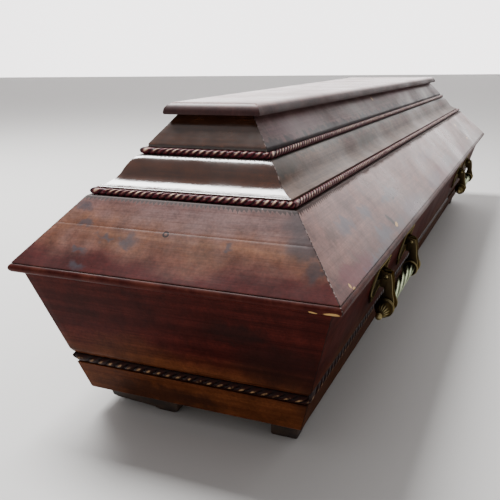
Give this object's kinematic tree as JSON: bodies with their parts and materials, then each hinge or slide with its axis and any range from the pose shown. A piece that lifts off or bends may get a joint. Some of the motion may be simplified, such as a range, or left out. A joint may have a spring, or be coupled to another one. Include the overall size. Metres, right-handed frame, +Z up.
{
  "type": "coffin",
  "caption": "Old tapered wooden coffin: leaning box under a stepped hipped lid, with rope mouldings, swing-bar handles and low feet.",
  "frame": {"origin": "on the ground, at the centre of the plan, where the feet stand", "axes": "+Z up, +Y along the coffin from its narrow foot end to its wide head end, +X across it"},
  "size_m": [0.73, 2.05, 0.4981],
  "materials": {
    "stained_wood": "red-brown stain under worn, glossy varnish, with lighter and blotched areas",
    "rope_moulding": "dark stained and varnished, worn lighter on the strands",
    "foot_wood": "dark, rough and dirty",
    "bronze": "dark antique bronze with rubbed edges",
    "silvered_bar": "silvered, twisted, lightly tarnished"
  },
  "bodies": {
    "coffin": {"bottom_board": "stained_wood", "box_wall_foot_end": "stained_wood", "box_wall_right": "stained_wood", "box_wall_head_end": "stained_wood", "box_wall_left": "stained_wood", "foot_left_front": "foot_wood", "foot_right_front": "foot_wood", "foot_right_rear": "foot_wood", "foot_left_rear": "foot_wood", "box_rope_foot_end": "rope_moulding", "box_rope_right": "rope_moulding", "box_rope_head_end": "rope_moulding", "box_rope_left": "rope_moulding", "lower_rope_foot_end": "rope_moulding", "lower_rope_right": "rope_moulding", "lower_rope_head_end": "rope_moulding", "lower_rope_left": "rope_moulding", "upper_rope_foot_end": "rope_moulding", "upper_rope_right": "rope_moulding", "upper_rope_head_end": "rope_moulding", "upper_rope_left": "rope_moulding", "lid_rim_foot_end": "stained_wood", "lid_rim_right": "stained_wood", "lid_rim_head_end": "stained_wood", "lid_rim_left": "stained_wood", "lid_slope_foot_end": "stained_wood", "lid_slope_right": "stained_wood", "lid_slope_head_end": "stained_wood", "lid_slope_left": "stained_wood", "lid_ogee_foot_end": "stained_wood", "lid_ogee_right": "stained_wood", "lid_ogee_head_end": "stained_wood", "lid_ogee_left": "stained_wood", "lid_frieze_foot_end": "stained_wood", "lid_frieze_right": "stained_wood", "lid_frieze_head_end": "stained_wood", "lid_frieze_left": "stained_wood", "top_board": "stained_wood", "handle_right_foot_plate_1": "bronze", "handle_right_foot_plate_2": "bronze", "handle_right_head_plate_1": "bronze", "handle_right_head_plate_2": "bronze", "handle_left_foot_plate_1": "bronze", "handle_left_foot_plate_2": "bronze", "handle_left_head_plate_1": "bronze", "handle_left_head_plate_2": "bronze"},
    "handle_right_foot": {"handle_right_foot_arm_1": "bronze", "handle_right_foot_arm_2": "bronze", "handle_right_foot_bar": "silvered_bar"},
    "handle_right_head": {"handle_right_head_arm_1": "bronze", "handle_right_head_arm_2": "bronze", "handle_right_head_bar": "silvered_bar"},
    "handle_left_foot": {"handle_left_foot_arm_1": "bronze", "handle_left_foot_arm_2": "bronze", "handle_left_foot_bar": "silvered_bar"},
    "handle_left_head": {"handle_left_head_arm_1": "bronze", "handle_left_head_arm_2": "bronze", "handle_left_head_bar": "silvered_bar"}
  },
  "joints": [
    {"name": "handle_right_foot_swing", "type": "hinge", "parent": "coffin", "child": "handle_right_foot", "pos_m": [0.2642, -0.5798, 0.2063], "axis": [-0.0529, -0.9986, 0], "range_deg": [-8, 90]},
    {"name": "handle_right_head_swing", "type": "hinge", "parent": "coffin", "child": "handle_right_head", "pos_m": [0.3228, 0.5272, 0.2063], "axis": [-0.0529, -0.9986, 0], "range_deg": [-8, 90]},
    {"name": "handle_left_foot_swing", "type": "hinge", "parent": "coffin", "child": "handle_left_foot", "pos_m": [-0.2642, -0.5798, 0.2063], "axis": [-0.0529, 0.9986, 0], "range_deg": [-8, 90]},
    {"name": "handle_left_head_swing", "type": "hinge", "parent": "coffin", "child": "handle_left_head", "pos_m": [-0.3228, 0.5272, 0.2063], "axis": [-0.0529, 0.9986, 0], "range_deg": [-8, 90]}
  ]
}
